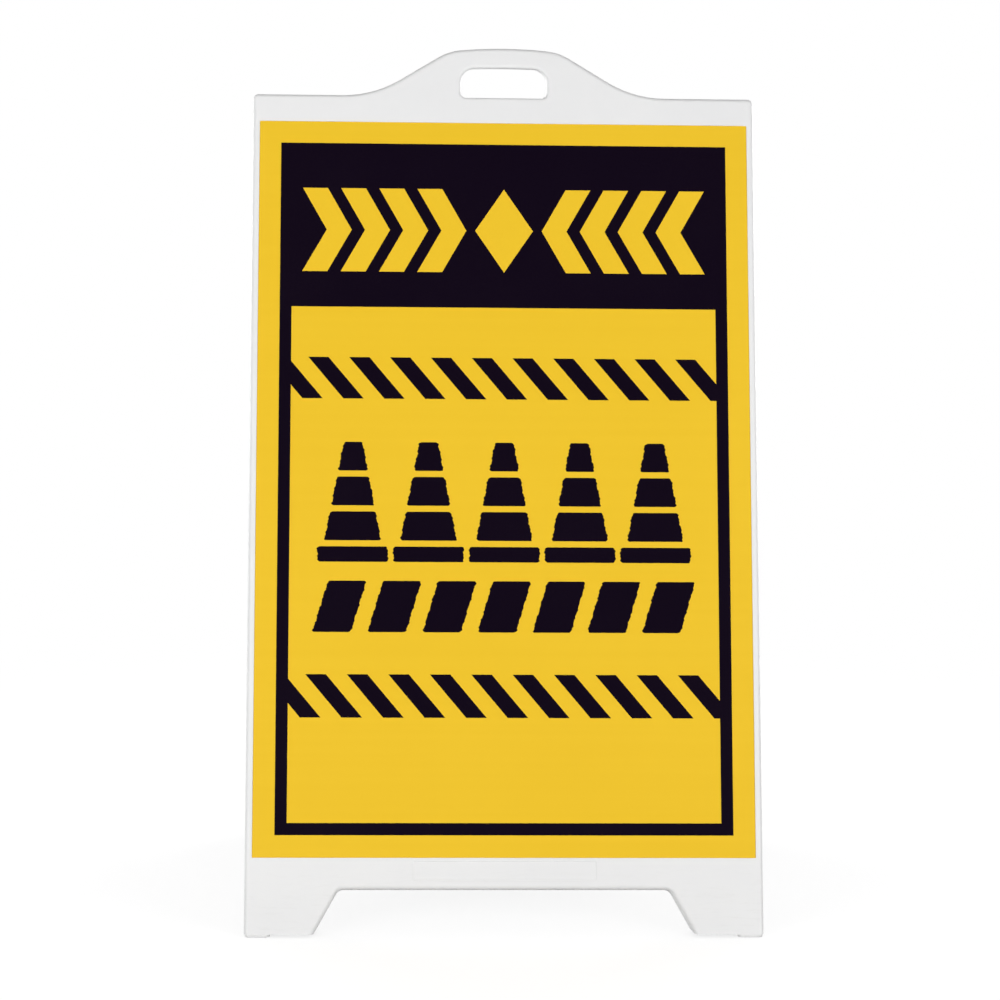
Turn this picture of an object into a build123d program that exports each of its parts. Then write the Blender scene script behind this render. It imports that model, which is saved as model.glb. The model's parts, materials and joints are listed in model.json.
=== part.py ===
# Folding A-frame floor sign: two hollow moulded leaves hinged at the top, a sign board on each.
# Row frame: +Z up, floor at z = 0, the front leaf faces -Y. Millimetres.
from build123d import *
import os
from math import cos, isclose, radians, sin, tan

os.makedirs("parts", exist_ok=True)

# Sign board and the shallow pocket that holds it
board_width = 609.6
board_height = 914.4
board_thickness = 3.0
board_corner = 1.0
board_clearance = 0.15
film_thickness = 0.3
tape_thickness = 0.8
tape_width = 25.0
tape_count = 4
tape_side_inset = 37.0
tape_end_inset = 40.0
face_set_back = 0.7

# Leaf, with heights measured along the leaf from the front edge of its soles
lean = 15.0
leaf_thickness = 30.0
wall = 2.5
rim_width = 8.5
fold_gap = 1.5
leg_height = 57.9
bottom_rail = 37.75
top_rail = 35.25
crown_rise = 62.6
crown_bow = 4.5
crown_half_width = 69.8
crown_corner = 64.0
sweep_half_width = 163.6
sweep_radius = 136.0
shoulder_corner = 6.0
front_edge_round = 5.5
inner_edge_round = 2.0
front_round_share = 0.62
inner_round_share = 0.3
stop_gap = 0.3

# Leg cut-out
leg_root_width = 112.9
leg_foot_width = 78.6
leg_gap_corner = 10.0

# Hand hole in the crown
hand_hole_width = 108.2
hand_hole_drop = 2.0
hand_hole_height = 37.5
hand_hole_bow = 1.2
hand_hole_top_corner = 18.0
hand_hole_bottom_corner = 7.0
hand_hole_edge_round = 4.0

# Blank plate in the bottom rail
plate_width = 222.0
plate_height = 22.7
plate_drop = 4.1
plate_depth = 0.6
plate_draft = 45.0
plate_corner = 1.0

# Tack-offs, where the inner wall is pressed in against the front wall
tack_length = 90.0
tack_width = 28.0
tack_draft = 12.0
tack_columns = 3
tack_rows = 5
tack_side_margin = 124.3
tack_bottom_margin = 94.0
tack_fill_margin = 150.0

# Hinge knuckles along each shoulder, counted inwards from the side edge
hinge_drop = 18.0
hinge_inset = 18.0
knuckle_count = 5
knuckle_length = 17.2
knuckle_gap = 1.0
knuckle_radius = 13.0
knuckle_clearance = 1.0

# Hinge bolt, washers and lock nut
bolt_radius = 4.0
bolt_bore_clearance = 0.08
bolt_tail = 2.0
hex_across_flats = 13.0
bolt_head_height = 5.3
washer_radius = 8.0
washer_bore_clearance = 0.2
washer_thickness = 1.6
nut_height = 6.5
nut_collar_height = 1.5
nut_collar_radius = 5.8
nut_bore_clearance = 0.05
nut_end_gap = 3.4
hex_chamfer = 0.6

# Foot pads
pad_height = 3.5
pad_width = 30.0
pad_inset = 1.0
pad_corner = 5.0
pad_edge_round = 1.0
peg_radius = 4.5
peg_length = 12.0
peg_clearance = 0.1
socket_end_gap = 0.6
peg_cover = 14.6

# Fill hole and its quarter-turn plug
fill_drop = 107.0
dish_clearance = 1.5
neck_clearance = 0.4
plug_set_back = 0.8
plug_flange_radius = 22.5
plug_flange_thickness = 3.0
plug_skirt_radius = 15.0
plug_skirt_wall = 2.4
plug_edge_round = 0.8
lug_bearing = 2.6
lug_width = 8.0
lug_thickness = 2.6
lug_gap = 0.4
notch_clearance = 0.6
coin_slot_length = 24.0
coin_slot_width = 3.2
coin_slot_depth = 1.8
gasket_radius = 20.0
gasket_thickness = 1.5
gasket_bore_clearance = 0.1
gasket_seat_gap = 0.2

# Worked out from the sizes above
tilt = radians(lean)
pocket_width = board_width + 2 * board_clearance
pocket_height = board_height + 2 * board_clearance
pocket_depth = tape_thickness + board_thickness + film_thickness + face_set_back
panel_width = pocket_width + 2 * rim_width
half_width = panel_width / 2
pocket_bottom = leg_height + bottom_rail
pocket_top = pocket_bottom + pocket_height
shoulder = pocket_top + top_rail
crown = shoulder + crown_rise
hinge_up = shoulder - hinge_drop
inner_face = fold_gap / 2
front_face = inner_face + leaf_thickness
hinge_z = hinge_up * cos(tilt) - front_face * sin(tilt)
crown_thickness = front_face - stop_gap / 2 - (crown - hinge_up) * tan(tilt)
front_round = min(front_edge_round, front_round_share * crown_thickness)
inner_round = min(inner_edge_round, inner_round_share * crown_thickness)
relief_radius = knuckle_radius + knuckle_clearance
hinge_outer = half_width - hinge_inset
knuckle_step = knuckle_length + knuckle_gap
hinge_inner = hinge_outer - knuckle_count * knuckle_step + knuckle_gap
nut_room = washer_thickness + nut_height + nut_collar_height + bolt_tail + nut_end_gap
leg_gap_top = half_width - leg_root_width
leg_gap_bottom = half_width - leg_foot_width
leg_solid_height = pad_height + peg_length + peg_cover
tape_pitch = (board_width - 2 * tape_side_inset - tape_width) / (tape_count - 1)
tack_first_row = leg_height + tack_bottom_margin
tack_row_pitch = (hinge_up - fill_drop - tack_fill_margin - tack_first_row) / (tack_rows - 1)
tack_column_pitch = (panel_width - 2 * tack_side_margin) / (tack_columns - 1)
tack_depth = leaf_thickness - pocket_depth - 2 * wall
dish_radius = plug_flange_radius + dish_clearance
dish_depth = plug_set_back + plug_flange_thickness + gasket_thickness + gasket_seat_gap
dish_floor = inner_face + dish_depth
neck_radius = plug_skirt_radius + neck_clearance
lug_reach = neck_radius + lug_bearing
bolt_bore = bolt_radius + bolt_bore_clearance
hex_radius = hex_across_flats / 2 / cos(radians(30))
leaf_plane = Plane(origin=(0, 0, hinge_z), x_dir=(1, 0, 0), z_dir=(0, -cos(tilt), sin(tilt)))
leaf_normal = Axis((0, 0, hinge_z), (0, -cos(tilt), sin(tilt)))


def up(height):
    """Local sketch height, from the hinge axis, of a height measured along the leaf from the sole."""
    return height - hinge_up


def corners_at(sketch, half_span, height):
    """The pair of sketch corners that lie at the same height, half_span either side of the middle."""
    return [
        corner
        for corner in sketch.vertices()
        if isclose(abs(corner.X), half_span, abs_tol=0.01) and isclose(corner.Y, height, abs_tol=0.01)
    ]


def on_floor(height, depth):
    """World y of a point at this height above the floor and this depth outwards in the leaf."""
    return (height - hinge_z) * tan(tilt) - depth / cos(tilt)


board_middle = up(pocket_bottom + pocket_height / 2)
tack_middle = up(tack_first_row + (tack_rows - 1) * tack_row_pitch / 2)
pocket_floor = front_face - pocket_depth
own_knuckles = {1: range(0, knuckle_count, 2), -1: range(1, knuckle_count, 2)}
foot_y = (on_floor(pad_height, front_face) + on_floor(pad_height, inner_face)) / 2
foot_depth = on_floor(pad_height, inner_face) - on_floor(pad_height, front_face) - 2 * pad_inset
foot_x = half_width - pad_inset - pad_width / 2

# Air space inside the leaf
with BuildPart() as leaf_cavity:
    with BuildSketch(leaf_plane.offset(inner_face + wall)):
        with BuildLine():
            Polyline(
                (0, 0),
                (half_width - wall, 0),
                (half_width - wall, up(leg_solid_height)),
                (leg_gap_bottom + wall, up(leg_solid_height)),
                (leg_gap_top + wall, up(leg_height + wall)),
                (0, up(leg_height + wall)),
            )
            mirror(about=Plane.YZ)
        make_face()
    extrude(amount=leaf_thickness - 2 * wall)
    with BuildSketch(leaf_plane.offset(pocket_floor - wall)):
        with Locations((0, board_middle)):
            Rectangle(panel_width, pocket_height + 2 * wall)
    extrude(amount=pocket_depth + wall, mode=Mode.SUBTRACT)
    with BuildSketch(leaf_plane.offset(inner_face)):
        with Locations((0, tack_middle)):
            with GridLocations(tack_column_pitch, tack_row_pitch, tack_columns, tack_rows):
                SlotOverall(tack_length + 2 * wall, tack_width + 2 * wall, rotation=90)
    extrude(amount=leaf_thickness - pocket_depth, taper=tack_draft, mode=Mode.SUBTRACT)
    with BuildSketch(leaf_plane.offset(inner_face)):
        with Locations((0, -fill_drop)):
            Circle(dish_radius + wall)
    extrude(amount=dish_depth + wall, mode=Mode.SUBTRACT)
    for side in (1, -1):
        channel_length = half_width - hinge_inner + nut_room
        with Locations((side * (half_width - channel_length / 2), 0, hinge_z)):
            Cylinder(relief_radius + wall, channel_length + 2 * wall, rotation=(0, 90, 0), mode=Mode.SUBTRACT)

# Moulded leaf
with BuildPart() as front_panel:
    with BuildSketch(leaf_plane.offset(inner_face)) as leaf_outline:
        with BuildLine():
            crown_arc = TangentArc((0, up(crown)), (crown_half_width, up(crown - crown_bow)), tangent=(1, 0))
            Polyline(
                crown_arc @ 1,
                (sweep_half_width, up(shoulder)),
                (half_width, up(shoulder)),
                (half_width, up(-pad_height)),
                (leg_gap_bottom, up(-pad_height)),
                (leg_gap_top, up(leg_height)),
                (0, up(leg_height)),
            )
            mirror(about=Plane.YZ)
        make_face()
        fillet(corners_at(leaf_outline, crown_half_width, up(crown - crown_bow)), crown_corner)
        fillet(corners_at(leaf_outline, sweep_half_width, up(shoulder)), sweep_radius)
        fillet(corners_at(leaf_outline, half_width, up(shoulder)), shoulder_corner)
        fillet(corners_at(leaf_outline, leg_gap_top, up(leg_height)), leg_gap_corner)
    extrude(amount=leaf_thickness)
    with BuildSketch(leaf_plane.offset(front_face)) as hand_hole:
        hole_bottom = up(shoulder - hand_hole_drop)
        hole_top = hole_bottom + hand_hole_height
        hole_side = hand_hole_width / 2
        with BuildLine():
            hole_arc = TangentArc((0, hole_top), (hole_side, hole_top - hand_hole_bow), tangent=(1, 0))
            Polyline(hole_arc @ 1, (hole_side, hole_bottom), (0, hole_bottom))
            mirror(about=Plane.YZ)
        make_face()
        fillet(corners_at(hand_hole, hole_side, hole_top - hand_hole_bow), hand_hole_top_corner)
        fillet(corners_at(hand_hole, hole_side, hole_bottom), hand_hole_bottom_corner)
    extrude(amount=-leaf_thickness, mode=Mode.SUBTRACT)
    # The ceiling of the hand hole is level when the sign is open
    extrude(hand_hole.sketch, amount=leaf_thickness / cos(tilt), dir=(0, 1, 0), mode=Mode.SUBTRACT)
    with Locations((0, -stop_gap / 2, hinge_z)):
        Box(
            panel_width,
            leaf_thickness,
            crown,
            align=(Align.CENTER, Align.MIN, Align.MIN),
            mode=Mode.SUBTRACT,
        )
    fillet(faces().sort_by(leaf_normal)[-1].outer_wire().edges(), front_round)
    fillet(faces().sort_by(leaf_normal)[-1].inner_wires()[0].edges(), hand_hole_edge_round)
    back_face = faces().sort_by(leaf_normal)[0]
    stop_face = faces().sort_by(Axis.Y)[-1]
    ridge = back_face.edges() & stop_face.edges()
    fillet(back_face.edges() + stop_face.edges() - ridge, inner_round)
    with Locations((0, 0, pad_height)):
        Box(
            panel_width,
            hinge_z,
            leg_solid_height,
            align=(Align.CENTER, Align.CENTER, Align.MAX),
            mode=Mode.SUBTRACT,
        )
    add(leaf_cavity.part, mode=Mode.SUBTRACT)
    with BuildSketch(leaf_plane.offset(pocket_floor)):
        with Locations((0, board_middle)):
            RectangleRounded(pocket_width, pocket_height, board_corner + board_clearance)
    extrude(amount=pocket_depth, mode=Mode.SUBTRACT)
    with BuildSketch(leaf_plane.offset(front_face)):
        with Locations((0, up(pocket_bottom - plate_drop - plate_height / 2))):
            RectangleRounded(plate_width, plate_height, plate_corner)
    extrude(amount=-plate_depth, taper=plate_draft, mode=Mode.SUBTRACT)
    with BuildSketch(leaf_plane.offset(inner_face)):
        with Locations((0, tack_middle)):
            with GridLocations(tack_column_pitch, tack_row_pitch, tack_columns, tack_rows):
                SlotOverall(tack_length, tack_width, rotation=90)
    extrude(amount=tack_depth, taper=tack_draft, mode=Mode.SUBTRACT)
    with BuildSketch(leaf_plane.offset(inner_face)):
        with Locations((0, -fill_drop)):
            Circle(dish_radius)
    extrude(amount=dish_depth, mode=Mode.SUBTRACT)
    with BuildSketch(leaf_plane.offset(dish_floor)):
        with Locations((0, -fill_drop)):
            Circle(neck_radius)
            Rectangle(lug_width + 2 * notch_clearance, 2 * (lug_reach + notch_clearance))
    extrude(amount=wall, mode=Mode.SUBTRACT)
    for side, own in own_knuckles.items():
        relief_outer = half_width
        for knuckle in own:
            knuckle_outer = hinge_outer - knuckle * knuckle_step
            with Locations((side * (relief_outer + knuckle_outer) / 2, 0, hinge_z)):
                Cylinder(
                    relief_radius, relief_outer - knuckle_outer, rotation=(0, 90, 0), mode=Mode.SUBTRACT
                )
            relief_outer = knuckle_outer - knuckle_length
        relief_inner = hinge_inner - nut_room
        with Locations((side * (relief_outer + relief_inner) / 2, 0, hinge_z)):
            Cylinder(relief_radius, relief_outer - relief_inner, rotation=(0, 90, 0), mode=Mode.SUBTRACT)
        for knuckle in own:
            knuckle_middle = hinge_outer - knuckle * knuckle_step - knuckle_length / 2
            with Locations((side * knuckle_middle, 0, hinge_z)):
                Cylinder(knuckle_radius, knuckle_length, rotation=(0, 90, 0))
                Cylinder(bolt_bore, knuckle_length, rotation=(0, 90, 0), mode=Mode.SUBTRACT)
    with Locations((foot_x, foot_y, pad_height), (-foot_x, foot_y, pad_height)):
        Cylinder(
            peg_radius + peg_clearance,
            peg_length + socket_end_gap,
            align=(Align.CENTER, Align.CENTER, Align.MIN),
            mode=Mode.SUBTRACT,
        )

# Sign board, its printed film and the tape behind it
with BuildPart() as front_board_tape:
    with BuildSketch(leaf_plane.offset(pocket_floor)):
        with Locations((0, board_middle)):
            with GridLocations(tape_pitch, 0, tape_count, 1):
                Rectangle(tape_width, board_height - 2 * tape_end_inset)
    extrude(amount=tape_thickness)

with BuildPart() as front_sign_board:
    with BuildSketch(leaf_plane.offset(pocket_floor + tape_thickness)):
        with Locations((0, board_middle)):
            RectangleRounded(board_width, board_height, board_corner)
    extrude(amount=board_thickness)

with BuildPart() as front_sign_film:
    with BuildSketch(leaf_plane.offset(pocket_floor + tape_thickness + board_thickness)):
        with Locations((0, board_middle)):
            RectangleRounded(board_width, board_height, board_corner)
    extrude(amount=film_thickness)

# Foot pads, each with a peg pressed into the leg above it
with BuildPart() as front_right_foot:
    with BuildSketch():
        with Locations((foot_x, foot_y)):
            RectangleRounded(pad_width, foot_depth, pad_corner)
    extrude(amount=pad_height)
    fillet(faces().sort_by(Axis.Z)[0].edges(), pad_edge_round)
    with Locations((foot_x, foot_y, pad_height)):
        Cylinder(peg_radius, peg_length, align=(Align.CENTER, Align.CENTER, Align.MIN))

with BuildPart() as front_left_foot:
    add(mirror(front_right_foot.part, about=Plane.YZ, mode=Mode.PRIVATE))

# Hinge bolt, put in from the side edge, with its washers and lock nut
head_plane = Plane(origin=(hinge_outer + washer_thickness, 0, hinge_z), x_dir=(0, 1, 0), z_dir=(1, 0, 0))
nut_plane = Plane(origin=(hinge_inner - washer_thickness, 0, hinge_z), x_dir=(0, 1, 0), z_dir=(-1, 0, 0))
grip_length = hinge_outer - hinge_inner + 2 * washer_thickness

with BuildPart() as right_hinge_bolt:
    with BuildSketch(head_plane):
        RegularPolygon(hex_radius, 6)
    extrude(amount=bolt_head_height)
    chamfer(faces().sort_by(Axis.X)[-1].edges(), hex_chamfer)
    with BuildSketch(head_plane):
        Circle(bolt_radius)
    extrude(amount=-(grip_length + nut_height + nut_collar_height + bolt_tail))
    chamfer(faces().sort_by(Axis.X)[0].edges(), hex_chamfer)

with BuildPart() as right_hinge_washers:
    for washer_plane in (head_plane, nut_plane):
        with BuildSketch(washer_plane):
            Circle(washer_radius)
            Circle(bolt_radius + washer_bore_clearance, mode=Mode.SUBTRACT)
        extrude(amount=-washer_thickness)

with BuildPart() as right_hinge_nut:
    with BuildSketch(nut_plane):
        RegularPolygon(hex_radius, 6)
    extrude(amount=nut_height)
    chamfer(faces().sort_by(Axis.X)[0].edges(), hex_chamfer)
    with BuildSketch(nut_plane.offset(nut_height)):
        Circle(nut_collar_radius)
    extrude(amount=nut_collar_height)
    with BuildSketch(nut_plane):
        Circle(bolt_radius + nut_bore_clearance)
    extrude(amount=nut_height + nut_collar_height, mode=Mode.SUBTRACT)

# Quarter-turn fill plug and the gasket under its flange
flange_under = dish_floor - gasket_seat_gap - gasket_thickness
lug_top = dish_floor + wall + lug_gap

with BuildPart() as front_fill_plug:
    with BuildSketch(leaf_plane.offset(flange_under)):
        with Locations((0, -fill_drop)):
            Circle(plug_flange_radius)
    extrude(amount=-plug_flange_thickness)
    fillet(faces().sort_by(leaf_normal)[0].edges(), plug_edge_round)
    with BuildSketch(leaf_plane.offset(flange_under)):
        with Locations((0, -fill_drop)):
            Circle(plug_skirt_radius)
            Circle(plug_skirt_radius - plug_skirt_wall, mode=Mode.SUBTRACT)
    extrude(amount=lug_top + lug_thickness - flange_under)
    with BuildSketch(leaf_plane.offset(lug_top)):
        with Locations((0, -fill_drop)):
            Rectangle(2 * lug_reach, lug_width)
            Circle(plug_skirt_radius - plug_skirt_wall, mode=Mode.SUBTRACT)
    extrude(amount=lug_thickness)
    with BuildSketch(leaf_plane.offset(flange_under - plug_flange_thickness)):
        with Locations((0, -fill_drop)):
            SlotOverall(coin_slot_length, coin_slot_width)
    extrude(amount=coin_slot_depth, mode=Mode.SUBTRACT)

with BuildPart() as front_plug_gasket:
    with BuildSketch(leaf_plane.offset(flange_under)):
        with Locations((0, -fill_drop)):
            Circle(gasket_radius)
            Circle(plug_skirt_radius + gasket_bore_clearance, mode=Mode.SUBTRACT)
    extrude(amount=gasket_thickness)

# The back leaf and the left hinge bolt are the same pieces turned half round the upright axis
pieces = {
    ("front_panel", "back_panel"): front_panel,
    ("front_board_tape", "back_board_tape"): front_board_tape,
    ("front_sign_board", "back_sign_board"): front_sign_board,
    ("front_sign_film", "back_sign_film"): front_sign_film,
    ("front_right_foot", "back_left_foot"): front_right_foot,
    ("front_left_foot", "back_right_foot"): front_left_foot,
    ("right_hinge_bolt", "left_hinge_bolt"): right_hinge_bolt,
    ("right_hinge_washers", "left_hinge_washers"): right_hinge_washers,
    ("right_hinge_nut", "left_hinge_nut"): right_hinge_nut,
    ("front_fill_plug", "back_fill_plug"): front_fill_plug,
    ("front_plug_gasket", "back_plug_gasket"): front_plug_gasket,
}
for (name, turned_name), piece in pieces.items():
    with BuildPart() as turned:
        add(piece.part, rotation=(0, 0, 180))
    piece.part.label = name
    turned.part.label = turned_name
    export_step(piece.part, f"parts/{name}.step")
    export_step(turned.part, f"parts/{turned_name}.step")
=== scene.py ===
"""Looks of a folding A-frame floor sign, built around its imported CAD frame.

Two hollow white moulded leaves lean on each other, each with a printed board in its front pocket.
The CAD nodes keep their shape and take procedural finishes. The ink of the print, the seam that the
mould leaves round each leaf and the nylon rings of the lock nuts are new pieces. Everything is in
metres, in the row frame: +Z up, floor at z = 0, the front leaf faces -Y.
"""
import json
import logging
from dataclasses import dataclass
from enum import Enum
from math import cos, radians, sin
from typing import Any, Iterable, Union

import bmesh
import bpy
import numpy as np
from mathutils import Matrix, Vector


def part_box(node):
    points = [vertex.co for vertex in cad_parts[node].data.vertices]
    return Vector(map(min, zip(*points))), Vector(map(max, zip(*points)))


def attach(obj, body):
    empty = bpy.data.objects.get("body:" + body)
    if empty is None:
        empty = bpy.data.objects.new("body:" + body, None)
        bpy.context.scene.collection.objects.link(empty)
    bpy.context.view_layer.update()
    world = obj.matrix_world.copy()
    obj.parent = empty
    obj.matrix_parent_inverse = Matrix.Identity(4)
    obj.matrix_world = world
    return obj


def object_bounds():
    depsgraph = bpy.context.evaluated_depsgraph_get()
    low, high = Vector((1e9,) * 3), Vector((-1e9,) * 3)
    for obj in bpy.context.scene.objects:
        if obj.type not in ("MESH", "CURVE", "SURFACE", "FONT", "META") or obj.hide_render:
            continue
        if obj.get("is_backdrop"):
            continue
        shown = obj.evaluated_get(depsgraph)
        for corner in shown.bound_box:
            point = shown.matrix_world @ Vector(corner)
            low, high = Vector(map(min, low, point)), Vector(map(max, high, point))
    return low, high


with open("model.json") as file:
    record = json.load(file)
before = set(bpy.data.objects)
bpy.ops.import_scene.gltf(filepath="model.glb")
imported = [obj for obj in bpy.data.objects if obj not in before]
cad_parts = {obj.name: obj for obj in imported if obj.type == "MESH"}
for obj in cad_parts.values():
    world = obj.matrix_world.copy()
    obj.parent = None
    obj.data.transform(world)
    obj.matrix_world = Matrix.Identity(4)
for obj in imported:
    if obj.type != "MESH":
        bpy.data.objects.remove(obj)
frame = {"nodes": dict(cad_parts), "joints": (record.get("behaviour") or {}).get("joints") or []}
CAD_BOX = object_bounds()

log = logging.getLogger("a_frame_sign")

MERGE_DISTANCE = 1e-6

Colour = tuple[float, float, float]
Point = tuple[float, float, float]
Pair = tuple[float, float]
Array = Union[float, np.ndarray]
Outline = tuple[np.ndarray, np.ndarray]
Number = Union[float, "Value"]
Tint = Union[Colour, "Value"]

WHITE: Colour = (1.0, 1.0, 1.0)


class Slot(str, Enum):
    """Material slots of the record, listed beside the print's pieces; no piece is given one."""

    WHITE_PLASTIC = "white_plastic"
    SIGN_PRINT = "sign_print"
    PRINT_BLACK = "print_black"
    PLUG_PLASTIC = "plug_plastic"


class Side(Enum):
    """The two leaves: the back one is the front one turned half a turn about Z."""

    FRONT = ("front", 1.0)
    BACK = ("back", -1.0)

    def __init__(self, label: str, turn: float) -> None:
        """Keeps the name that node names start with and the sign that x and y take."""
        self.label = label
        self.turn = turn

    @property
    def body(self) -> str:
        """Name of the CAD body that the leaf's pieces ride on."""
        return f"{self.label}_leaf"

    @property
    def bolt_hand(self) -> str:
        """Which hinge bolt the leaf carries: the right one is on the front leaf."""
        return "right" if self is Side.FRONT else "left"


# Shader nodes


class Value:
    """A number socket whose arithmetic adds Math nodes."""

    def __init__(self, nodes: "Nodes", socket: Union[bpy.types.NodeSocket, None]) -> None:
        """Keeps the socket, which an output node has none of, and the tree that it belongs to."""
        self.nodes = nodes
        self.socket = socket

    def _math(self, operation: str, first: Number, second: Number) -> "Value":
        """Adds one Math node.

        Args:
            operation: Blender's name for the operation.
            first: the left hand side.
            second: the right hand side.

        Returns:
            The node's result.
        """
        return self.nodes.node("ShaderNodeMath", {"operation": operation}, {0: first, 1: second})

    def __add__(self, other: Number) -> "Value":
        """Sum."""
        return self._math("ADD", self, other)

    def __radd__(self, other: Number) -> "Value":
        """Sum with a number on the left."""
        return self._math("ADD", other, self)

    def __sub__(self, other: Number) -> "Value":
        """Difference."""
        return self._math("SUBTRACT", self, other)

    def __rsub__(self, other: Number) -> "Value":
        """Difference with a number on the left."""
        return self._math("SUBTRACT", other, self)

    def __mul__(self, other: Number) -> "Value":
        """Product."""
        return self._math("MULTIPLY", self, other)

    def __rmul__(self, other: Number) -> "Value":
        """Product with a number on the left."""
        return self._math("MULTIPLY", other, self)

    def larger(self, other: Number) -> "Value":
        """The larger of two values."""
        return self._math("MAXIMUM", self, other)

    def around(self, middle: float, swing: float) -> "Value":
        """From half a swing below middle to half a swing above it, as this goes from 0 to 1."""
        return middle - swing / 2 + self * swing

    def ramp(self, low: float, high: float) -> "Value":
        """Smooth step from 0 at low to 1 at high."""
        return self.nodes.node(
            "ShaderNodeMapRange",
            {"interpolation_type": "SMOOTHSTEP"},
            {"Value": self, "From Min": low, "From Max": high},
        )


class Nodes:
    """A node tree that is filled one node at a time."""

    def __init__(self, tree: bpy.types.NodeTree) -> None:
        """Empties the tree."""
        self.tree = tree
        tree.nodes.clear()

    def node(
        self,
        kind: str,
        settings: dict[str, Any] | None = None,
        inputs: dict[Union[str, int], Any] | None = None,
        output: Union[str, int] = 0,
    ) -> Value:
        """Adds a node.

        Args:
            kind: the node's type name.
            settings: attributes, set before any socket.
            inputs: a number, a colour, a vector or a Value for each socket, by name, identifier or index.
            output: the output to hand back, by name, identifier or index.

        Returns:
            The chosen output.
        """
        made = self.tree.nodes.new(kind)
        for name, setting in (settings or {}).items():
            setattr(made, name, setting)
        for key, value in (inputs or {}).items():
            socket = self._find(made.inputs, key)
            if isinstance(value, Value):
                self.tree.links.new(value.socket, socket)
            elif socket.type == "RGBA" and len(value) == 3:
                socket.default_value = (*value, 1.0)
            else:
                socket.default_value = value
        if not made.outputs:
            return Value(self, None)
        return Value(self, self._find(made.outputs, output))

    @staticmethod
    def _find(sockets: Any, key: Union[str, int]) -> bpy.types.NodeSocket:
        """Finds a socket.

        Args:
            sockets: a node's inputs or outputs.
            key: the socket's index, identifier or name.

        Returns:
            The socket.
        """
        if isinstance(key, int):
            return sockets[key]
        return next((one for one in sockets if one.identifier == key), None) or sockets[key]

    def place(self) -> Value:
        """Object coordinates, which are the row frame at rest."""
        return self.node("ShaderNodeTexCoord", output="Object")

    def axis(self, place: Value, name: str) -> Value:
        """One coordinate of a vector: X, Y or Z."""
        return self.node("ShaderNodeSeparateXYZ", {}, {0: place}, name)

    def stretch(self, place: Value, scales: Point) -> Value:
        """A vector with each coordinate multiplied."""
        return self.node("ShaderNodeVectorMath", {"operation": "MULTIPLY"}, {0: place, 1: scales})

    def noise(self, place: Value, scale: float = 1.0, detail: float = 2.0, roughness: float = 0.5) -> Value:
        """Fractal noise, from 0 to 1 with a mean of about a half.

        Args:
            place: the coordinates it is read at.
            scale: waves in a metre.
            detail: octaves above the first.
            roughness: how strong each octave is beside the one before.

        Returns:
            The noise.
        """
        inputs = {"Vector": place, "Scale": scale, "Detail": detail, "Roughness": roughness}
        return self.node("ShaderNodeTexNoise", {}, inputs)

    def mix(self, factor: Value, first: Tint, second: Tint) -> Value:
        """A colour that goes from first to second as factor goes from 0 to 1."""
        inputs = {"Factor_Float": factor, "A_Color": first, "B_Color": second}
        return self.node("ShaderNodeMix", {"data_type": "RGBA"}, inputs, "Result_Color")

    def bump(self, height: Value) -> Value:
        """A normal from a height in metres."""
        return self.node("ShaderNodeBump", {}, {"Strength": 1.0, "Distance": 1.0, "Height": height})

    def surface(self, shader: Value) -> None:
        """Puts a shader on the material."""
        self.node("ShaderNodeOutputMaterial", {}, {"Surface": shader})

    def principled(self, **sockets: Any) -> None:
        """Puts a Principled shader on the material.

        Args:
            sockets: values by socket name, with _ for a space.
        """
        inputs = {name.replace("_", " "): value for name, value in sockets.items()}
        self.surface(self.node("ShaderNodeBsdfPrincipled", {}, inputs))


def new_material(name: str) -> tuple[bpy.types.Material, Nodes]:
    """Makes an empty node material.

    Args:
        name: the material's name.

    Returns:
        The material and its node tree.
    """
    material = bpy.data.materials.new(name)
    material.use_nodes = True
    return material, Nodes(material.node_tree)


# Finishes, with scales in waves to a metre and heights in metres


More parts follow.
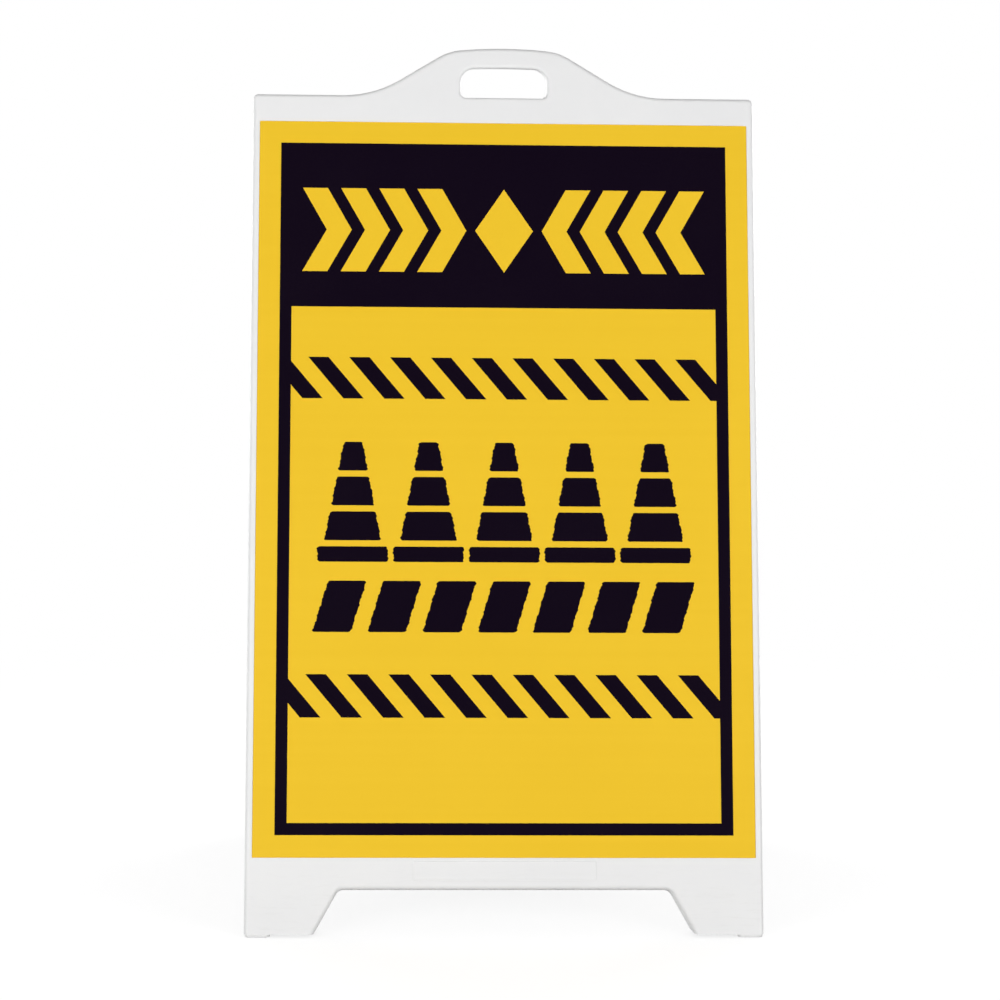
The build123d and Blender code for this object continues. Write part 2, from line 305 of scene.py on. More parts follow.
@dataclass(frozen=True)
class MouldedPlastic:
    """White polyethylene from a mould: satin, faintly pebbled, with slow waves from the blowing."""

    name: str = "white_plastic"
    colour: Colour = (0.845, 0.845, 0.845)
    shade: Colour = (0.815, 0.816, 0.82)
    dust_and_shade_colour: Colour = (0.60, 0.59, 0.57)
    roughness: float = 0.46
    roughness_swing: float = 0.08
    ior: float = 1.5
    shine: float = 0.32
    mottle_scale: float = 9.0
    cloud_scale: float = 2.6
    shade_range: Pair = (0.35, 0.7)
    pebble_scale: float = 620.0
    pebble_height: float = 8.0e-5
    wave_scale: float = 11.0
    wave_height: float = 1.6e-4
    dust_and_shade_top: float = 0.14
    low_shade_and_dust_film: float = 0.06
    dust_in_scuffs: float = 0.14
    dust_roughness: float = 0.2
    scuff_scales: Point = (38.0, 38.0, 240.0)
    scuff_range: Pair = (0.5, 0.78)

    def material(self) -> bpy.types.Material:
        """Builds the material: mottled colour, painted shade low down with a trace of floor dust, pebbled
        and wavy bump.

        Returns:
            The material.
        """
        material, nodes = new_material(self.name)
        place = nodes.place()
        mottle = nodes.noise(place, self.mottle_scale, detail=4.0, roughness=0.6)
        cloud = nodes.noise(place, self.cloud_scale)
        pebble = nodes.noise(place, self.pebble_scale, roughness=0.6)
        wave = nodes.noise(place, self.wave_scale, detail=1.0)
        scuff = nodes.noise(nodes.stretch(place, self.scuff_scales), detail=3.0, roughness=0.65)
        # Painted shade: the colour darkens towards the floor low down. This is partly floor dust and partly
        # painted shade, with dust streaks in the scuffs on top.
        low = 1.0 - nodes.axis(place, "Z").ramp(0.0, self.dust_and_shade_top)
        shaded = (mottle * 0.5 + cloud * 0.5).ramp(*self.shade_range)
        shade_and_dust = low * (self.low_shade_and_dust_film + scuff.ramp(*self.scuff_range) * self.dust_in_scuffs)
        nodes.principled(
            Base_Color=nodes.mix(shade_and_dust, nodes.mix(shaded, self.colour, self.shade), self.dust_and_shade_colour),
            Roughness=mottle.around(self.roughness, self.roughness_swing) + shade_and_dust * self.dust_roughness,
            IOR=self.ior,
            Specular_IOR_Level=self.shine,
            Normal=nodes.bump(pebble * self.pebble_height + wave * self.wave_height),
        )
        return material


@dataclass(frozen=True)
class PrintedFilm:
    """Yellow printed film under a satin laminate, with the laminate's fine orange peel."""

    name: str = "sign_print"
    colour: Colour = (0.872, 0.556, 0.025)
    deep: Colour = (0.856, 0.540, 0.022)
    roughness: float = 0.42
    roughness_swing: float = 0.06
    ior: float = 1.48
    shine: float = 0.16
    drift_scale: float = 5.0
    drift_share: float = 0.6
    pass_scales: Point = (1.5, 30.0, 110.0)
    deep_range: Pair = (0.3, 0.72)
    peel_scale: float = 360.0
    peel_height: float = 7.0e-6
    lie_scale: float = 6.0
    lie_height: float = 9.0e-5

    def material(self) -> bpy.types.Material:
        """Builds the material: faint drift and print passes in the colour, peel and lie in the bump.

        Returns:
            The material.
        """
        material, nodes = new_material(self.name)
        place = nodes.place()
        drift = nodes.noise(place, self.drift_scale, detail=3.0)
        passes = nodes.noise(nodes.stretch(place, self.pass_scales), detail=1.0)
        peel = nodes.noise(place, self.peel_scale)
        lie = nodes.noise(place, self.lie_scale, detail=1.0)
        deepened = (drift * self.drift_share + passes * (1 - self.drift_share)).ramp(*self.deep_range)
        nodes.principled(
            Base_Color=nodes.mix(deepened, self.colour, self.deep),
            Roughness=drift.around(self.roughness, self.roughness_swing),
            IOR=self.ior,
            Specular_IOR_Level=self.shine,
            Normal=nodes.bump(peel * self.peel_height + lie * self.lie_height),
        )
        return material


@dataclass(frozen=True)
class PrintInk:
    """One solid ink laid on the film: near black, or the film's yellow."""

    name: str
    colour: Colour
    worn: Colour
    shine: float = 0.03
    roughness: float = 0.44
    roughness_swing: float = 0.06
    ior: float = 1.48
    drift_scale: float = 7.0
    thin_range: Pair = (0.42, 0.8)
    grain_scale: float = 480.0
    grain_height: float = 5.0e-6

    def material(self) -> bpy.types.Material:
        """Builds the material: ink that thins in fine specks, with a fine grain in the bump.

        Returns:
            The material.
        """
        material, nodes = new_material(self.name)
        place = nodes.place()
        drift = nodes.noise(place, self.drift_scale, detail=3.0)
        grain = nodes.noise(place, self.grain_scale)
        thin = (drift * 0.5 + grain * 0.5).ramp(*self.thin_range)
        nodes.principled(
            Base_Color=nodes.mix(thin, self.colour, self.worn),
            Roughness=drift.around(self.roughness, self.roughness_swing),
            IOR=self.ior,
            Specular_IOR_Level=self.shine,
            Normal=nodes.bump(grain * self.grain_height),
        )
        return material


@dataclass(frozen=True)
class PlainSheet:
    """A plain sheet, pad or small moulding, told by its colours, roughness and the size of its grain."""

    name: str
    colour: Colour
    shade: Colour
    roughness: float
    grain_scale: float
    grain_height: float
    shine: float = 0.3
    roughness_swing: float = 0.1
    mottle_scale: float = 24.0
    mottle_share: float = 0.6
    shade_range: Pair = (0.32, 0.7)

    def material(self) -> bpy.types.Material:
        """Builds the material: two close colours mixed by slow noise, and one grain in the bump.

        Returns:
            The material.
        """
        material, nodes = new_material(self.name)
        place = nodes.place()
        mottle = nodes.noise(place, self.mottle_scale, detail=4.0, roughness=0.6)
        grain = nodes.noise(place, self.grain_scale, detail=3.0, roughness=0.6)
        shaded = (mottle * self.mottle_share + grain * (1 - self.mottle_share)).ramp(*self.shade_range)
        nodes.principled(
            Base_Color=nodes.mix(shaded, self.colour, self.shade),
            Roughness=mottle.around(self.roughness, self.roughness_swing),
            Specular_IOR_Level=self.shine,
            Normal=nodes.bump(grain * self.grain_height),
        )
        return material


@dataclass(frozen=True)
class ZincPlate:
    """Bright zinc on a steel fastener, with faint blue and straw tints and drawn lines."""

    name: str = "zinc_steel"
    colour: Colour = (0.50, 0.51, 0.53)
    tint: Colour = (0.54, 0.51, 0.44)
    least_roughness: float = 0.28
    line_roughness: float = 0.1
    patch_roughness: float = 0.06
    patch_scale: float = 140.0
    tint_range: Pair = (0.42, 0.72)
    line_scales: Point = (90.0, 2600.0, 2600.0)
    line_height: float = 3.0e-6

    def material(self) -> bpy.types.Material:
        """Builds the material: tint in soft patches, drawn lines along X in the roughness and bump.

        Returns:
            The material.
        """
        material, nodes = new_material(self.name)
        place = nodes.place()
        patch = nodes.noise(place, self.patch_scale, detail=3.0)
        lines = nodes.noise(nodes.stretch(place, self.line_scales))
        nodes.principled(
            Base_Color=nodes.mix(patch.ramp(*self.tint_range), self.colour, self.tint),
            Metallic=1.0,
            Roughness=self.least_roughness + lines * self.line_roughness + patch * self.patch_roughness,
            Normal=nodes.bump(lines * self.line_height),
        )
        return material


class Finishes:
    """Every finish of the sign, each built once."""

    def __init__(self) -> None:
        """Builds the materials."""
        self.plastic = MouldedPlastic().material()
        self.film = PrintedFilm().material()
        self.black = PrintInk("print_black", (0.0036, 0.0010, 0.0062), (0.0052, 0.0022, 0.0078)).material()
        self.yellow = PrintInk(
            "print_yellow", PrintedFilm.colour, PrintedFilm.deep, shine=PrintedFilm.shine
        ).material()
        self.tape = PlainSheet(
            "tape_foam", (0.72, 0.72, 0.70), (0.62, 0.62, 0.60),
            roughness=0.85, grain_scale=900.0, grain_height=6e-5,
        ).material()
        self.board = PlainSheet(
            "board_plastic", (0.87, 0.87, 0.87), (0.84, 0.84, 0.84),
            roughness=0.55, grain_scale=500.0, grain_height=1e-5,
        ).material()
        self.foot = PlainSheet(
            "foot_rubber", (0.81, 0.81, 0.805), (0.75, 0.75, 0.745),
            roughness=0.72, grain_scale=700.0, grain_height=3e-5,
        ).material()
        self.plug = PlainSheet(
            "plug_plastic", (0.74, 0.745, 0.75), (0.69, 0.695, 0.70),
            roughness=0.42, grain_scale=650.0, grain_height=1.5e-5,
        ).material()
        self.gasket = PlainSheet(
            "gasket_rubber", (0.022, 0.022, 0.023), (0.04, 0.04, 0.04),
            roughness=0.62, grain_scale=800.0, grain_height=2e-5,
        ).material()
        self.nylon = PlainSheet(
            "nylon_ring", (0.035, 0.12, 0.34), (0.03, 0.10, 0.29),
            roughness=0.4, grain_scale=900.0, grain_height=1e-5,
        ).material()
        self.zinc = ZincPlate().material()

    def dress(self, nodes: dict[str, bpy.types.Object]) -> None:
        """Puts a finish on every CAD node, by the last words of its name.

        Args:
            nodes: the CAD nodes by name.
        """
        by_ending = {
            "_panel": self.plastic,
            "_board_tape": self.tape,
            "_sign_board": self.board,
            "_sign_film": self.film,
            "_foot": self.foot,
            "_fill_plug": self.plug,
            "_plug_gasket": self.gasket,
            "_hinge_bolt": self.zinc,
            "_hinge_washers": self.zinc,
            "_hinge_nut": self.zinc,
        }
        for name, node in nodes.items():
            finish = next(made for ending, made in by_ending.items() if name.endswith(ending))
            node.data.materials.clear()
            node.data.materials.append(finish)
            log.info("finish %s on %s", finish.name, name)


# Places and meshes


@dataclass(frozen=True)
class SignFace:
    """The front of one leaf's film: its middle and its lean."""

    side: Side
    middle: Vector
    lean: float

    @classmethod
    def of(cls, side: Side) -> "SignFace":
        """Reads the face from the CAD film, a slab of height h and thickness t that leans by a.

        Its box is h sin a + t cos a deep and h cos a + t sin a high, which gives t. Half of what the
        leaves fold by is a.

        Args:
            side: the leaf.

        Returns:
            The face.
        """
        fold = next(joint for joint in frame["joints"] if joint["name"] == "leaf_fold")
        lean = radians(fold["range_deg"][1]) / 2
        low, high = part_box(f"{side.label}_sign_film")
        _, depth, rise = high - low
        thickness = (depth * cos(lean) - rise * sin(lean)) / cos(2 * lean)
        out = Vector((0.0, -side.turn * cos(lean), sin(lean)))
        return cls(side, (low + high) / 2 + out * thickness / 2, lean)

    def point(self, x: Array, up: Array, out: Array) -> np.ndarray:
        """Row-frame points of places on the face.

        A place is x to the right, up along the leaf from the middle, and out from the film.

        Args:
            x: distances to the right, seen from the front.
            up: distances up the leaf.
            out: distances out of the film.

        Returns:
            The points, with a last axis of three.
        """
        x, up, out = np.broadcast_arrays(x, up, out)
        turn = self.side.turn
        y = self.middle.y + turn * (up * sin(self.lean) - out * cos(self.lean))
        z = self.middle.z + up * cos(self.lean) + out * sin(self.lean)
        return np.stack([self.middle.x + turn * x, y, z], axis=-1)

    def place(self, points: np.ndarray) -> tuple[np.ndarray, np.ndarray, np.ndarray]:
        """Places on the face of row-frame points, which is point() the other way round.

        Args:
            points: the points, with a last axis of three.

        Returns:
            x, up and out of each.
        """
        x, y, z = np.moveaxis(points - np.array(self.middle), -1, 0)
        y = y * self.side.turn
        up = y * sin(self.lean) + z * cos(self.lean)
        return x * self.side.turn, up, z * sin(self.lean) - y * cos(self.lean)


class Piece:
    """Collects grids of points and makes one mesh of them."""

    def __init__(self, name: str) -> None:
        """Starts an empty piece.

        Args:
            name: the name that its object gets.
        """
        self.name = name
        self.points: list[np.ndarray] = []
        self.quads: list[np.ndarray] = []
        self.count = 0

    def grid(self, points: np.ndarray, wrap: bool = False, keep: np.ndarray | None = None) -> None:
        """Adds one or more grids of quads.

        Cell r, c joins the points r, c; r, c + 1; r + 1, c + 1 and r + 1, c.

        Args:
            points: an array whose last three axes are rows, columns and xyz.
            wrap: whether the last column joins the first.
            keep: which cells are made, all if it isn't given.
        """
        rows, columns = points.shape[-3:-1]
        index = np.arange(points.size // 3).reshape(-1, rows, columns)
        across = np.roll(index, -1, axis=2) if wrap else index[:, :, 1:]
        here = index if wrap else index[:, :, :-1]
        quads = np.stack([here[:, :-1], across[:, :-1], across[:, 1:], here[:, 1:]], axis=-1)
        quads = quads[:, keep] if keep is not None else quads.reshape(-1, 4)
        self.quads.append(quads.reshape(-1, 4) + self.count)
        self.points.append(points.reshape(-1, 3))
        self.count += points.size // 3

    def make(self, material: bpy.types.Material, smooth: bool = False) -> bpy.types.Object:
        """Makes the object, with doubled points merged and faces of no width gone.

        Args:
            material: its finish.
            smooth: whether it is shaded smooth.

        Returns:
            The object, at the origin.
        """
        mesh = bpy.data.meshes.new(self.name)
        mesh.from_pydata(np.concatenate(self.points), [], np.concatenate(self.quads))
        work = bmesh.new()
        work.from_mesh(mesh)
        bmesh.ops.remove_doubles(work, verts=work.verts, dist=MERGE_DISTANCE)
        bmesh.ops.dissolve_degenerate(work, edges=work.edges, dist=MERGE_DISTANCE)
        loose = [vert for vert in work.verts if not vert.link_faces]
        bmesh.ops.delete(work, geom=loose, context="VERTS")
        work.to_mesh(mesh)
        work.free()
        mesh.polygons.foreach_set("use_smooth", np.full(len(mesh.polygons), smooth))
        mesh.materials.append(material)
        made = bpy.data.objects.new(self.name, mesh)
        bpy.context.scene.collection.objects.link(made)
        return made


# The print


@dataclass(frozen=True)
class SignPrint:
    """The ink on a leaf's yellow film, laid out from the middle of the board.

    A black frame and header block, two rows of slanting hazard bars, and plain worksite motifs:
    chevrons in the header, a row of stencilled traffic cones, and a row of stencilled slabs.
    """

    ink: float = 8.0e-5
    frame_half_width: float = 0.2780
    frame_top: float = 0.4296
    frame_bottom: float = -0.4302
    frame_band: float = 0.0147
    header_bottom: float = 0.2212
    bar_rows: tuple[Pair, ...] = ((0.1577, 0.1057), (-0.2353, -0.2881))
    bar_pitch: float = 0.0505
    bar_width: float = 0.0250
    bar_slope: float = 0.84
    bar_count: int = 11
    bar_shift: float = -0.0058
    chevron_top: float = 0.3720
    chevron_bottom: float = 0.2660
    chevron_first: float = 0.062
    chevron_pitch: float = 0.0475
    chevron_width: float = 0.0310
    chevron_depth: float = 0.0300
    chevron_count: int = 4
    lozenge_half_width: float = 0.0360
    cone_top: float = 0.0515
    cone_bottom: float = -0.0973
    cone_pitch: float = 0.0930
    cone_count: int = 5
    cone_tip_half: float = 0.0115
    cone_foot_half: float = 0.0362
    cone_plate_half: float = 0.0432
    cone_plate_height: float = 0.0190
    cone_bridge: float = 0.0075
    cone_slices: int = 3
    slab_top: float = -0.1206
    slab_bottom: float = -0.1837
    slab_pitch: float = 0.0672
    slab_width: float = 0.0470
    slab_slope: float = -0.30
    slab_count: int = 7
    stencil_rows: int = 40
    stencil_corner: float = 0.0030
    stencil_wobble: float = 0.0004
    stencil_waves: Point = (0.021, 0.0094, 0.0047)
    seed: int = 7
    seeds_in_metre: float = 1.0e4

    @property
    def inner_half_width(self) -> float:
        """Half the width inside the frame."""
        return self.frame_half_width - self.frame_band

    def frame_grid(self) -> tuple[np.ndarray, np.ndarray, np.ndarray]:
        """The frame and header: a grid of three by three cells with its middle cell left out.

        Returns:
            x and up of the grid's points, and which cells are kept.
        """
        edge, inner = self.frame_half_width, self.inner_half_width
        band_top = self.frame_bottom + self.frame_band
        x = np.array([-edge, -inner, inner, edge])
        up = np.array([self.frame_bottom, band_top, self.header_bottom, self.frame_top])
        keep = np.ones((3, 3), bool)
        keep[1, 1] = False
        return *np.meshgrid(x, up), keep

    def bars(self, top: float, bottom: float) -> Outline:
        """One row of hazard bars, cut off at the frame.

        A bar's middle is at k times the pitch, plus the shift, plus the slope times the height below
        the row's middle. Each bar has four rows of points: its ends, and where its two edges meet the
        frame.

        Args:
            top: the row's upper edge.
            bottom: the row's lower edge.

        Returns:
            x and up, each bars by rows by two.
        """
        k = np.arange(self.bar_count) - self.bar_count // 2
        middle = (k * self.bar_pitch + self.bar_shift)[:, None, None]
        edge = self.bar_width / 2 * np.array([-1.0, 1.0])
        limit = np.sign(middle) * self.inner_half_width
        centre = (top + bottom) / 2
        meet = np.clip(centre - (limit - middle - edge) / self.bar_slope, bottom, top)[:, 0]
        ends = np.broadcast_to([bottom, top], meet.shape)
        up = np.sort(np.concatenate([ends, meet], axis=1), axis=1)[:, :, None]
        x = middle + edge + self.bar_slope * (centre - up)
        return np.clip(x, -self.inner_half_width, self.inner_half_width), np.broadcast_to(up, x.shape)

    def chevrons(self) -> Outline:
        """The header's chevrons, pointing at a lozenge in the middle.

        A chevron's edges go from its ends in to its point by the depth, straight, and both edges
        are the same line a width apart. The lozenge is the same with its edges closing to points.

        Returns:
            x and up, each shapes by three rows by two.
        """
        bend = np.array([0.0, 1.0, 0.0])[:, None]
        start = self.chevron_first + self.chevron_pitch * np.arange(self.chevron_count)[:, None, None]
        right = start + self.chevron_width * np.array([0.0, 1.0]) - self.chevron_depth * (bend - 0.5)
        left = -right[:, :, ::-1]
        lozenge = self.lozenge_half_width * bend * np.array([-1.0, 1.0])
        x = np.concatenate([left, lozenge[None], right])
        up = np.linspace(self.chevron_bottom, self.chevron_top, 3)[:, None]
        return x, np.broadcast_to(up, x.shape)

    def stencil(
        self, middles: np.ndarray, top: float, bottom: float, half: Pair, slope: float = 0.0
    ) -> Outline:
        """A row of stencilled shapes: straight-sided, with soft corners and slightly unsteady edges.

        The half width goes straight from half[0] at the bottom to half[1] at the top. Near each end
        it is less by what the corner's radius takes off, and a sum of sines, one to each wave length
        and with phases seeded by the row's height, moves each edge.

        Args:
            middles: x of each shape's middle.
            top: upper edge.
            bottom: lower edge.
            half: half widths at the bottom and the top.
            slope: how far the middle moves to the right for each metre down.

        Returns:
            x and up, each shapes by rows by two.
        """
        ease = (1 - np.cos(np.linspace(0, np.pi, self.stencil_rows))) / 2
        up = bottom + (top - bottom) * ease
        end = np.minimum(np.minimum(up - bottom, top - up), self.stencil_corner)
        corner = self.stencil_corner - np.sqrt(end * (2 * self.stencil_corner - end))
        width = np.interp(up, [bottom, top], half) - corner
        draw = np.random.default_rng(self.seed + int(self.seeds_in_metre * (bottom + 1)))
        phase = draw.uniform(0, 2 * np.pi, (len(self.stencil_waves), len(middles), 1, 2))
        wave = np.array(self.stencil_waves)[:, None, None, None]
        wobble = np.sin(2 * np.pi * up[:, None] / wave + phase).sum(0) * self.stencil_wobble
        lean = slope * ((top + bottom) / 2 - up)
        x = middles[:, None, None] + lean[:, None] + width[:, None] * np.array([-1.0, 1.0]) + wobble
        return x, np.broadcast_to(up[:, None], x.shape)

    def cones(self) -> Iterable[Outline]:
        """The cones: a foot plate and three slices of a taper, with bridges of bare film between.

        Yields:
            x and up of each slice of the whole row.
        """
        middles = self.cone_pitch * (np.arange(self.cone_count) - (self.cone_count - 1) / 2)
        plate_top = self.cone_bottom + self.cone_plate_height
        plate_ends = (self.cone_plate_half, self.cone_plate_half)
        yield self.stencil(middles, plate_top, self.cone_bottom, plate_ends)
        edges = np.linspace(plate_top, self.cone_top, self.cone_slices + 1)
        taper_ends = (self.cone_foot_half, self.cone_tip_half)
        for low, high in zip(edges[:-1] + self.cone_bridge, edges[1:]):
            half = np.interp([low, high], [plate_top, self.cone_top], taper_ends)
            yield self.stencil(middles, high, low, tuple(half))

    def slabs(self) -> Outline:
        """The row of leaning slabs.

        Returns:
            x and up of the row.
        """
        middles = self.slab_pitch * (np.arange(self.slab_count) - (self.slab_count - 1) / 2)
        half = self.slab_width / 2
        return self.stencil(middles, self.slab_top, self.slab_bottom, (half, half), self.slab_slope)

    def build(self, face: SignFace, finishes: Finishes) -> list[bpy.types.Object]:
        """Lays the ink on one leaf: black on the film, then the header's yellow on the black.

        Args:
            face: the leaf's sign face.
            finishes: the sign's finishes.

        Returns:
            The black piece and the yellow piece.
        """
        black = Piece(f"{face.side.label}_black_ink")
        x, up, keep = self.frame_grid()
        black.grid(face.point(x, up, self.ink), keep=keep)
        shapes = [self.bars(top, bottom) for top, bottom in self.bar_rows]
        for x, up in [*shapes, *self.cones(), self.slabs()]:
            black.grid(face.point(x, up, self.ink))
        yellow = Piece(f"{face.side.label}_header_ink")
        x, up = self.chevrons()
        yellow.grid(face.point(x, up, 2 * self.ink))
        pieces = []
        for piece, material, slot in (
            (black, finishes.black, Slot.PRINT_BLACK),
            (yellow, finishes.yellow, Slot.SIGN_PRINT),
        ):
            made = piece.make(material)
            # The grid is the layer's top, so the layer thickens towards the film
            layer = made.modifiers.new("ink_layer", "SOLIDIFY")
            layer.thickness = self.ink
            layer.offset = -1.0
            pieces.append(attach(made, face.side.body))
        return pieces


# Moulding and hardware details


@dataclass(frozen=True)
class MouldSeam:
    """The line where the mould's halves met: a low bead round each leaf, where its front round starts."""

    half_width: float = 4.0e-4
    height: float = 1.2e-4
    ring: int = 12
    wall_slack: float = 2.0e-6
    level_slack: float = 2.0e-5
    sole_slack: float = 2.0e-3
    outline_digits: int = 6

    def runs(self, face: SignFace) -> tuple[list[np.ndarray], float]:
        """The bead's two runs, one over the leg gap and one over the crown.

        The leaf's side wall is at the largest x of its points, and the furthest out on that wall is
        where the front round starts. The points at that level, in order of their angle round the
        middle of the face, are the leaf's outline, and the soles cut the outline in two.

        Args:
            face: the leaf's sign face.

        Returns:
            Each run as rows of x and up, and how far out they are.
        """
        mesh = frame["nodes"][f"{face.side.label}_panel"].data
        points = np.empty(3 * len(mesh.vertices), np.float32)
        mesh.vertices.foreach_get("co", points)
        x, up, out = face.place(points.reshape(-1, 3).astype(float))
        level = out[x > x.max() - self.wall_slack].max()
        at_level = np.abs(out - level) < self.level_slack
        outline = np.unique(np.stack([x, up], axis=1)[at_level].round(self.outline_digits), axis=0)
        angle = np.arctan2(outline[:, 0], -outline[:, 1])
        soles = np.abs(angle[outline[:, 1] < outline[:, 1].min() + self.sole_slack])
        gap = np.abs(angle) < (soles.min() + soles.max()) / 2
        over_gap = outline[gap][np.argsort(angle[gap])]
        over_crown = outline[~gap][np.argsort(angle[~gap] % (2 * np.pi))]
        return [over_gap, over_crown], level

    def build(self, face: SignFace, finishes: Finishes) -> bpy.types.Object:
        """Lays the bead on one leaf: an ellipse, half of it in the wall, carried along each run.

        The ellipse's height is along the outline's normal and its width across the wall. At each
        end it shrinks to a point, which closes the bead.

        Args:
            face: the leaf's sign face.
            finishes: the sign's finishes.

        Returns:
            The seam.
        """
        seam = Piece(f"{face.side.label}_mould_seam")
        turn = np.linspace(0, 2 * np.pi, self.ring, endpoint=False)
        runs, level = self.runs(face)
        for run in runs:
            step = np.diff(run, axis=0)
            step /= np.linalg.norm(step, axis=1, keepdims=True)
            ahead = np.concatenate([step[:1], step[:-1] + step[1:], step[-1:]])
            ahead /= np.linalg.norm(ahead, axis=1, keepdims=True)
            away = np.stack([ahead[:, 1], -ahead[:, 0]], axis=1)
            order = np.pad(np.arange(len(run)), 1, "edge")
            size = np.pad(np.ones(len(run)), 1)[:, None]
            lift = size * self.height * np.cos(turn)
            x, up = (run[order, axis, None] + away[order, axis, None] * lift for axis in (0, 1))
            seam.grid(face.point(x, up, level - size * self.half_width * np.sin(turn)), wrap=True)
        made = seam.make(finishes.plastic, smooth=True)
        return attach(made, face.side.body)


@dataclass(frozen=True)
class NylonRing:
    """The nylon ring in the end of a lock nut: rounded, round the bolt, half of it in the collar."""

    inner_radius: float = 0.0042
    outer_radius: float = 0.0054
    proud: float = 0.0004
    around: int = 48
    section: int = 12

    def build(self, side: Side, finishes: Finishes) -> bpy.types.Object:
        """Sets the ring in the nut of one hinge bolt: an ellipse carried round the bolt's axis.

        Args:
            side: the leaf that carries the bolt.
            finishes: the sign's finishes.

        Returns:
            The ring.
        """
        low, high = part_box(f"{side.bolt_hand}_hinge_nut")
        middle = (low + high) / 2
        inwards = -side.turn
        end = low.x if inwards < 0 else high.x
        turn = np.linspace(0, 2 * np.pi, self.section, endpoint=False)
        round_bolt = np.linspace(0, 2 * np.pi, self.around + 1)[:, None]
        mean = (self.inner_radius + self.outer_radius) / 2
        radius = mean + (self.outer_radius - mean) * np.cos(turn)
        x = np.broadcast_to(end - self.proud * np.sin(turn), (self.around + 1, self.section))
        y = middle.y + radius * np.cos(round_bolt)
        z = middle.z + radius * np.sin(round_bolt)
        ring = Piece(f"{side.bolt_hand}_nylon_ring")
        ring.grid(np.stack([x, y, z], axis=-1), wrap=True)
        made = ring.make(finishes.nylon, smooth=True)
        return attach(made, side.body)


# Studio


@dataclass(frozen=True)
class Lamp:
    """One soft box: where it stands, what it looks at, its size and its power."""

    name: str
    place: Point
    power: float
    aim: Point = (0.0, 0.0, 0.55)
    size: Pair = (2.4, 1.8)

    def build(self) -> None:
        """Adds the lamp."""
        data = bpy.data.lights.new(self.name, "AREA")
        data.shape = "RECTANGLE"
        data.size, data.size_y = self.size
        data.energy = self.power
        lamp = bpy.data.objects.new(self.name, data)
        lamp.location = self.place
        lamp.rotation_euler = (Vector(self.aim) - Vector(self.place)).to_track_quat("-Z", "Y").to_euler()
        bpy.context.scene.collection.objects.link(lamp)


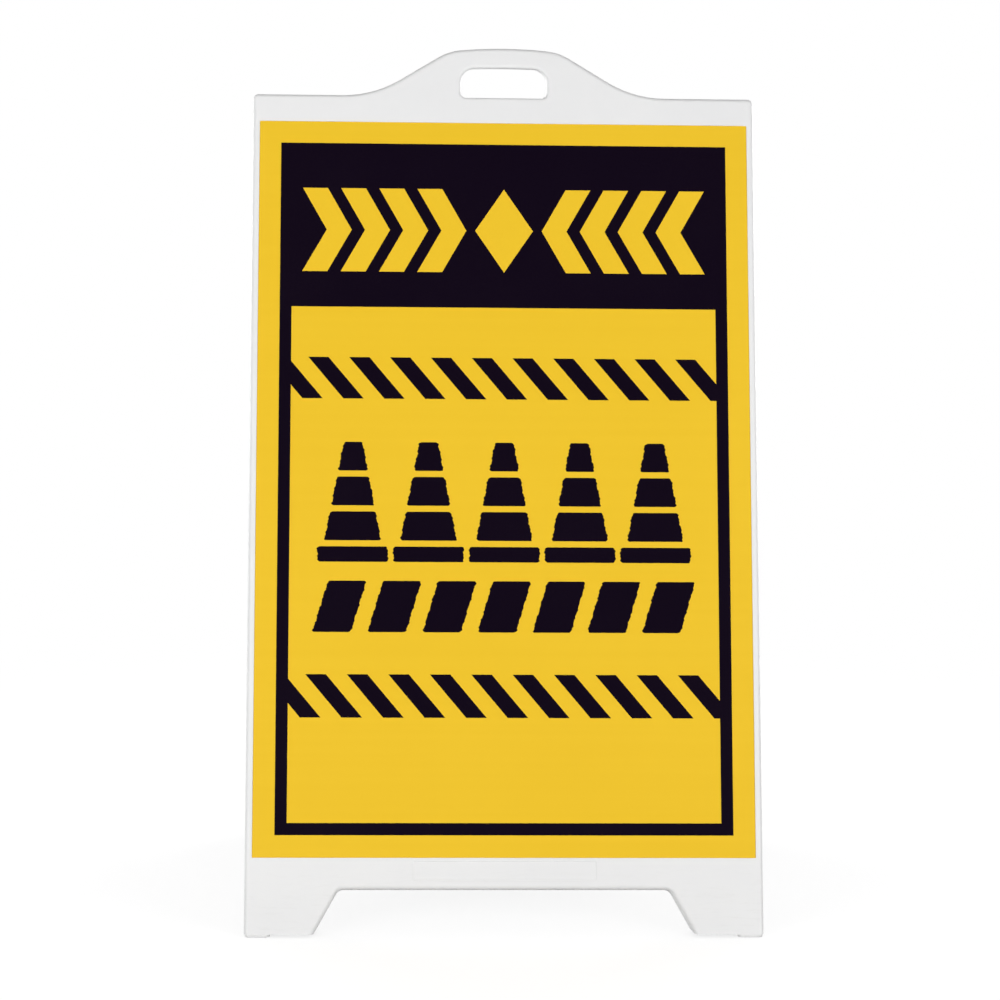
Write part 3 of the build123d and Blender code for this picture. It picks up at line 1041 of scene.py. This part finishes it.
@dataclass(frozen=True)
class Studio:
    """Pale floor, white surround, soft boxes and the camera."""

    floor_half: float = 9.0
    floor_drop: float = 2.0e-4
    floor_colour: Colour = (0.47, 0.47, 0.47)
    floor_lit: Colour = (0.2, 0.2, 0.2)
    floor_glow: float = 0.93
    floor_shade: float = 0.16
    shade_reach: float = 0.9
    floor_near: float = 0.55
    floor_far: float = 1.9
    ambient: float = 0.26
    overhead: float = 0.08
    lens: float = 110.3
    sensor: float = 36.0
    eye: Point = (-0.1692, -0.5831, 3.7213)
    aim: Point = (-0.0053, -0.0199, 0.0)
    upright: Point = (-0.0057, 0.9888, 0.1494)
    lamps: tuple[Lamp, ...] = (
        Lamp("front_key_box", (-2.9, -3.5, 1.05), 119.0),
        Lamp("front_fill_box", (3.1, -3.3, 1.05), 104.0),
        Lamp("back_key_box", (2.9, 3.5, 1.05), 118.0),
        Lamp("back_fill_box", (-3.1, 3.3, 1.05), 88.0),
    )

    @staticmethod
    def seen(nodes: Nodes) -> Value:
        """Tells what is shown from the light that falls on things.

        Args:
            nodes: the tree that it is asked in.

        Returns:
            1 for what the camera, a reflection or a glass shows, and 0 for other light.
        """
        names = ("Is Camera Ray", "Is Glossy Ray", "Is Transmission Ray")
        camera, glossy, through = (nodes.node("ShaderNodeLightPath", output=name) for name in names)
        return camera.larger(glossy).larger(through)

    def build_world(self) -> None:
        """Surrounds the sign with soft light, weaker overhead, that shows as white."""
        world = bpy.data.worlds.new("surround")
        world.use_nodes = True
        bpy.context.scene.world = world
        nodes = Nodes(world.node_tree)
        height = nodes.axis(nodes.node("ShaderNodeTexCoord", output="Generated"), "Z")
        level = self.ambient - height.ramp(0.0, 1.0) * (self.ambient - self.overhead)
        light = nodes.node("ShaderNodeBackground", {}, {"Color": level, "Strength": 1.0})
        white = nodes.node("ShaderNodeBackground", {}, {"Color": WHITE, "Strength": 1.0})
        shown = nodes.node("ShaderNodeMixShader", {}, {0: self.seen(nodes), 1: light, 2: white})
        nodes.node("ShaderNodeOutputWorld", {}, {"Surface": shown})

    def build_floor(self) -> None:
        """Lays the floor: a square that keeps the real shadow and a painted shadow near the sign, and fades
        to white away from it.
        """
        material, nodes = new_material("floor_paper")
        lit = nodes.node("ShaderNodeBsdfDiffuse", {}, {"Color": self.floor_lit})
        # Painted shadow: ambient occlusion near the sign darkens the floor's glow.
        open_sky = nodes.node("ShaderNodeAmbientOcclusion", {}, {"Distance": self.shade_reach}, "AO")
        level = self.floor_glow - (1.0 - open_sky) * self.floor_shade
        glow = nodes.node("ShaderNodeEmission", {}, {"Color": level, "Strength": 1.0})
        near = nodes.node("ShaderNodeAddShader", {}, {0: lit, 1: glow})
        far = nodes.node("ShaderNodeEmission", {}, {"Color": WHITE, "Strength": 1.0})
        away = nodes.node("ShaderNodeVectorMath", {"operation": "LENGTH"}, {0: nodes.place()}, "Value")
        fade = away.ramp(self.floor_near, self.floor_far)
        shown = nodes.node("ShaderNodeMixShader", {}, {0: fade, 1: near, 2: far})
        plain = nodes.node("ShaderNodeBsdfDiffuse", {}, {"Color": self.floor_colour})
        nodes.surface(nodes.node("ShaderNodeMixShader", {}, {0: self.seen(nodes), 1: plain, 2: shown}))
        reach = self.floor_half * np.array([-1.0, 1.0])
        x, y = np.meshgrid(reach, reach)
        floor = Piece("floor")
        floor.grid(np.stack([x, y, np.full_like(x, -self.floor_drop)], axis=-1))
        floor.make(material)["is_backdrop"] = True

    def build_camera(self, face: SignFace) -> None:
        """Stands the camera where the photograph was taken from, as measured from the front sign face.

        Args:
            face: the front sign face.
        """
        eye, aim, tip = (
            Vector(face.point(*place)) for place in (self.eye, self.aim, np.add(self.eye, self.upright))
        )
        back = (eye - aim).normalized()
        right = (tip - eye).cross(back).normalized()
        turn = Matrix((right, back.cross(right), back)).transposed()
        data = bpy.data.cameras.new("photo_camera")
        data.lens, data.sensor_width = self.lens, self.sensor
        camera = bpy.data.objects.new("photo_camera", data)
        camera.matrix_world = Matrix.Translation(eye) @ turn.to_4x4()
        bpy.context.scene.collection.objects.link(camera)
        bpy.context.scene.camera = camera

    def build(self, face: SignFace) -> None:
        """Sets up the whole studio.

        Args:
            face: the front sign face.
        """
        bpy.context.scene.view_settings.view_transform = "Standard"
        self.build_world()
        self.build_floor()
        for lamp in self.lamps:
            lamp.build()
        self.build_camera(face)


def write_sizes() -> None:
    """Works out the CAD box and the visual model's box as plain lists; nothing is written."""
    boxes = {"cad": CAD_BOX, "visual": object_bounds()}
    plain = {name: [[float(value) for value in corner] for corner in box] for name, box in boxes.items()}


def main() -> None:
    """Builds the sign's looks and the studio round it."""
    logging.basicConfig(level=logging.INFO, format="%(message)s")
    finishes = Finishes()
    finishes.dress(frame["nodes"])
    faces = {side: SignFace.of(side) for side in Side}
    for side, face in faces.items():
        pieces = SignPrint().build(face, finishes)
        pieces.append(MouldSeam().build(face, finishes))
        pieces.append(NylonRing().build(side, finishes))
        for piece in pieces:
            log.info("piece %s", piece.name)
    Studio().build(faces[Side.FRONT])
    write_sizes()


if __name__ == "__main__":
    main()
